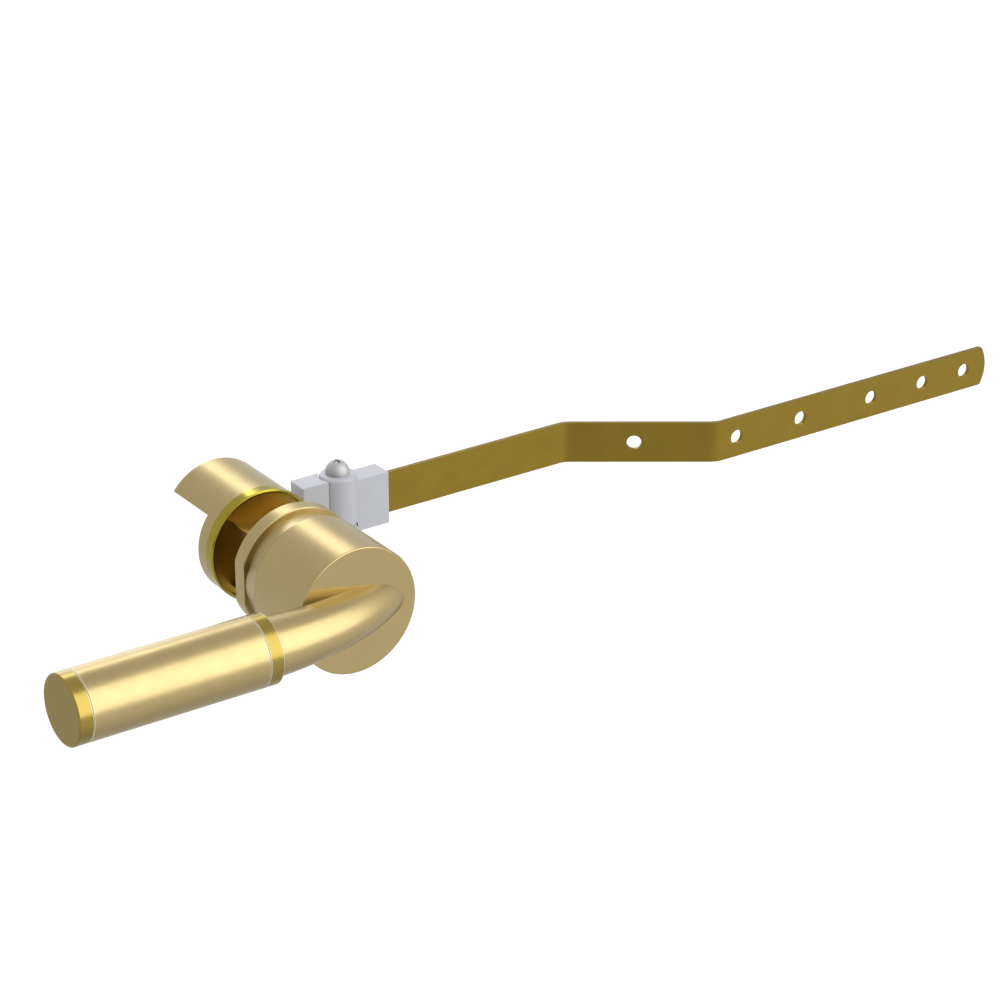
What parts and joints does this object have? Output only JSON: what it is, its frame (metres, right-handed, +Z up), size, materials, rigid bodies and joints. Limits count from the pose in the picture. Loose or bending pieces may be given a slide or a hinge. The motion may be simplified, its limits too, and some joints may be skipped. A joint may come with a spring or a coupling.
{
  "type": "toilet tank trip lever",
  "caption": "Toilet tank trip lever: round hub and side bar grip outside the wall, ring nut and stop hood inside it, and a swinging perforated arm that lifts the flapper chain.",
  "frame": {"origin": "on the spindle axis, in the flange face that seats on the outside of the tank wall", "axes": "+Y goes back into the tank along the spindle, +X runs along the arm, +Z is up"},
  "size_m": [0.3282, 0.0853, 0.035],
  "materials": {
    "satin_gold": "satin champagne gold plate",
    "brushed_gold": "fine brushed champagne gold plate",
    "polished_gold": "polished darker gold",
    "raw_brass": "polished brass",
    "arm_brass": "rolled brass strip, dull",
    "grey_plastic": "moulded light grey acetal",
    "bearing_nylon": "natural nylon",
    "seal_rubber": "black nitrile",
    "screw_steel": "zinc plated",
    "pivot_steel": "stainless steel",
    "spindle_steel": "turned stainless steel"
  },
  "bodies": {
    "root": {"escutcheon": "satin_gold", "front_bushing": "bearing_nylon", "rear_bushing": "bearing_nylon", "mounting_nut": "raw_brass", "stop_hood": "satin_gold", "hood_set_screw": "screw_steel"},
    "lever": {"lever_hub": "satin_gold", "hub_set_screw": "screw_steel", "grip_ring": "polished_gold", "grip_sleeve": "brushed_gold", "end_cap": "polished_gold", "grip_stud": "screw_steel", "spindle": "spindle_steel", "spindle_o_ring": "seal_rubber", "thrust_washer": "bearing_nylon", "arm_carrier": "grey_plastic", "carrier_washer": "screw_steel", "carrier_screw": "screw_steel", "pivot_washer": "screw_steel", "pivot_screw": "pivot_steel", "pivot_nut": "screw_steel"},
    "arm": {"arm_clamp": "grey_plastic", "arm_strip": "arm_brass"}
  },
  "joints": [
    {"name": "lever_turn", "type": "hinge", "parent": "root", "child": "lever", "pos_m": [0, 0, 0], "axis": [0, -1, 0], "range_deg": [0, 25]},
    {"name": "arm_swing", "type": "hinge", "parent": "lever", "child": "arm", "pos_m": [0.0299, 0.0239, 0], "axis": [0, 0, 1], "range_deg": [0, 90]}
  ]
}
